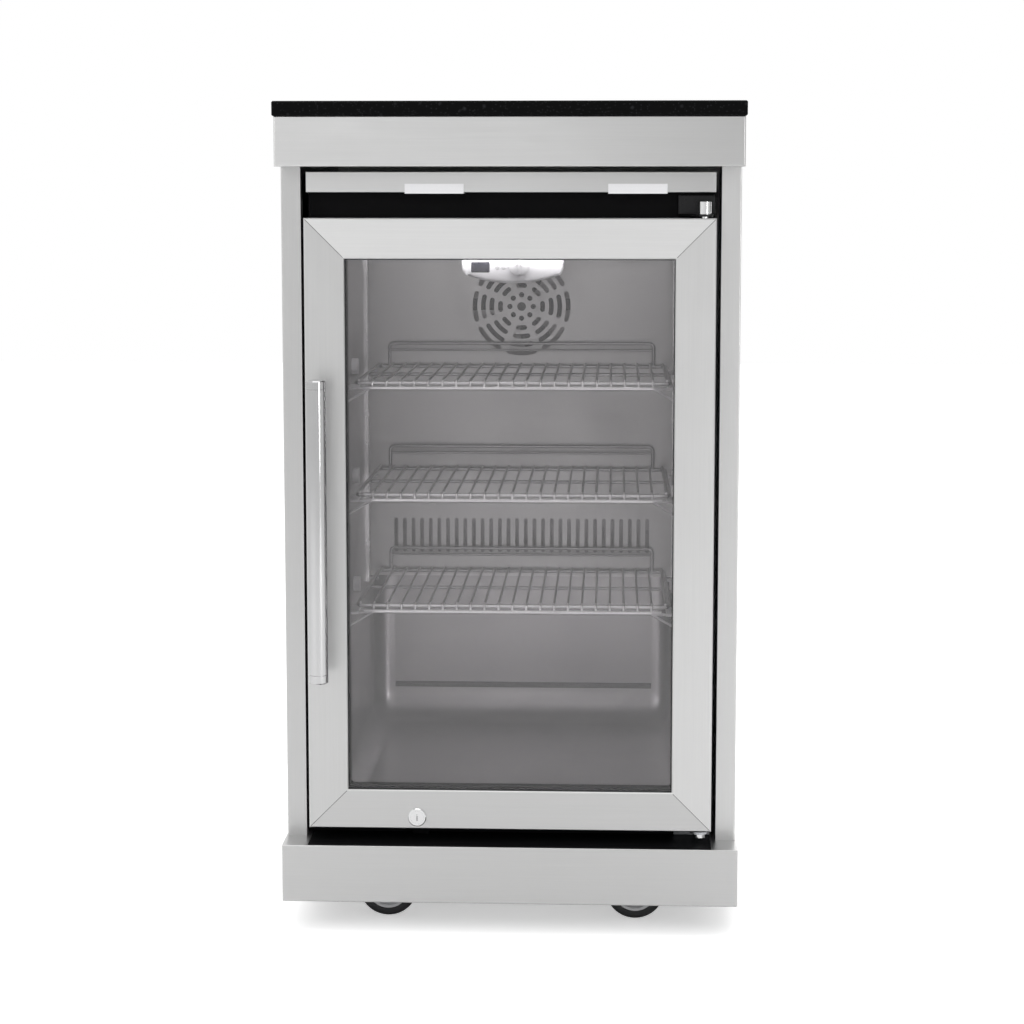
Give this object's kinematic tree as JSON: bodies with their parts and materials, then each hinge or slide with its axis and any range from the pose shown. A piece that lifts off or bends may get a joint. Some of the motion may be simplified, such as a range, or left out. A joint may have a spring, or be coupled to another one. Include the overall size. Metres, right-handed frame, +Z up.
{
  "type": "outdoor kitchen refrigerator module",
  "caption": "Stainless outdoor-kitchen cabinet module on castors with a stone worktop and a built-in glass-door bottle cooler with wire shelves.",
  "frame": {"origin": "on the floor, under the centre of the whole module", "axes": "+Z up, front faces -Y, +X to the right of someone facing the front"},
  "size_m": [0.569, 0.6784, 1.026],
  "materials": {
    "stone": "polished black stone",
    "stainless": "fine brushed stainless",
    "polished_steel": "polished",
    "zinc_plated": "zinc plated",
    "shelf_wire": "bright plated wire",
    "black_paint": "satin black",
    "foam": "rigid foam",
    "liner_metal": "satin",
    "coil_metal": "bare",
    "glass": "clear",
    "spacer_metal": "satin",
    "black_rubber": "matt",
    "castor_tyre": "matt",
    "black_plastic": "satin",
    "white_plastic": "gloss"
  },
  "bodies": {
    "cabinet": {"back_panel": "stainless", "back_screws": "polished_steel", "base_tray": "stainless", "cable_gland": "black_rubber", "castor_bolts": "polished_steel", "castor_plates": "zinc_plated", "compressor": "black_paint", "condenser_coil": "coil_metal", "condenser_shroud": "black_plastic", "control_housing": "white_plastic", "display_window": "black_plastic", "evaporator_coil": "coil_metal", "evaporator_cover": "liner_metal", "fan_motors": "black_plastic", "fridge_base_pan": "black_paint", "fridge_case": "black_paint", "fridge_feet": "black_rubber", "fridge_insulation": "foam", "fridge_liner": "liner_metal", "hinge_brackets": "zinc_plated", "hinge_pins": "polished_steel", "hinge_screws": "polished_steel", "lock_keeper": "zinc_plated", "shelf_bottom": "shelf_wire", "shelf_clips": "shelf_wire", "shelf_middle": "shelf_wire", "shelf_strips": "stainless", "shelf_top": "shelf_wire", "side_panel_left": "stainless", "side_panel_right": "stainless", "top_tray": "stainless", "top_trim": "stainless", "trim_clips": "white_plastic", "worktop": "stone"},
    "door": {"door_rail_top": "stainless", "door_rail_bottom": "stainless", "door_stile_left": "stainless", "door_stile_right": "stainless", "glass_panes": "glass", "glass_spacer": "spacer_metal", "glazing_bead": "black_plastic", "door_gasket": "black_rubber", "handle_bar": "polished_steel", "handle_posts": "polished_steel", "hinge_bushes": "black_plastic", "lock_housing": "polished_steel"},
    "lock": {"lock_barrel": "polished_steel"},
    "knob": {"thermostat_knob": "white_plastic"},
    "evaporator_rotor": {"evaporator_fan": "black_plastic"},
    "condenser_rotor": {"condenser_fan": "black_plastic"},
    "swivel_front_left": {"castor_fork_front_left": "zinc_plated"},
    "wheel_front_left": {"castor_wheel_front_left": "castor_tyre"},
    "pedal_front_left": {"brake_pedal_front_left": "black_plastic"},
    "swivel_front_right": {"castor_fork_front_right": "zinc_plated"},
    "wheel_front_right": {"castor_wheel_front_right": "castor_tyre"},
    "pedal_front_right": {"brake_pedal_front_right": "black_plastic"},
    "swivel_rear_left": {"castor_fork_rear_left": "zinc_plated"},
    "wheel_rear_left": {"castor_wheel_rear_left": "castor_tyre"},
    "swivel_rear_right": {"castor_fork_rear_right": "zinc_plated"},
    "wheel_rear_right": {"castor_wheel_rear_right": "castor_tyre"}
  },
  "joints": [
    {"name": "door_hinge", "type": "hinge", "parent": "cabinet", "child": "door", "pos_m": [0.236, -0.26825, 0.129], "axis": [0, 0, 1], "range_deg": [0, 110]},
    {"name": "lock_turn", "type": "hinge", "parent": "door", "child": "lock", "pos_m": [-0.115, -0.28225, 0.144], "axis": [0, 1, 0], "range_deg": [0, 90]},
    {"name": "knob_turn", "type": "hinge", "parent": "cabinet", "child": "knob", "pos_m": [0.008, -0.19425, 0.826], "axis": [0, 1, 0], "range_deg": [0, 270]},
    {"name": "evaporator_fan_spin", "type": "hinge", "parent": "cabinet", "child": "evaporator_rotor", "pos_m": [0, 0.10575, 0.76], "axis": [0, 1, 0], "continuous": true},
    {"name": "condenser_fan_spin", "type": "hinge", "parent": "cabinet", "child": "condenser_rotor", "pos_m": [0.12, 0.25275, 0.208], "axis": [0, 1, 0], "continuous": true},
    {"name": "castor_swivel_front_left", "type": "hinge", "parent": "cabinet", "child": "swivel_front_left", "pos_m": [-0.181, -0.22025, 0.1095], "axis": [0, 0, 1], "continuous": true},
    {"name": "wheel_spin_front_left", "type": "hinge", "parent": "swivel_front_left", "child": "wheel_front_left", "pos_m": [-0.157, -0.22025, 0.0375], "axis": [0, 1, 0], "continuous": true},
    {"name": "brake_pedal_lift_front_left", "type": "hinge", "parent": "swivel_front_left", "child": "pedal_front_left", "pos_m": [-0.12594, -0.22025, 0.06547], "axis": [0, -1, 0], "range_deg": [0, 15]},
    {"name": "castor_swivel_front_right", "type": "hinge", "parent": "cabinet", "child": "swivel_front_right", "pos_m": [0.133, -0.22025, 0.1095], "axis": [0, 0, 1], "continuous": true},
    {"name": "wheel_spin_front_right", "type": "hinge", "parent": "swivel_front_right", "child": "wheel_front_right", "pos_m": [0.157, -0.22025, 0.0375], "axis": [0, 1, 0], "continuous": true},
    {"name": "brake_pedal_lift_front_right", "type": "hinge", "parent": "swivel_front_right", "child": "pedal_front_right", "pos_m": [0.18806, -0.22025, 0.06547], "axis": [0, -1, 0], "range_deg": [0, 15]},
    {"name": "castor_swivel_rear_left", "type": "hinge", "parent": "cabinet", "child": "swivel_rear_left", "pos_m": [-0.181, 0.24375, 0.1095], "axis": [0, 0, 1], "continuous": true},
    {"name": "wheel_spin_rear_left", "type": "hinge", "parent": "swivel_rear_left", "child": "wheel_rear_left", "pos_m": [-0.157, 0.24375, 0.0375], "axis": [0, 1, 0], "continuous": true},
    {"name": "castor_swivel_rear_right", "type": "hinge", "parent": "cabinet", "child": "swivel_rear_right", "pos_m": [0.133, 0.24375, 0.1095], "axis": [0, 0, 1], "continuous": true},
    {"name": "wheel_spin_rear_right", "type": "hinge", "parent": "swivel_rear_right", "child": "wheel_rear_right", "pos_m": [0.157, 0.24375, 0.0375], "axis": [0, 1, 0], "continuous": true}
  ]
}
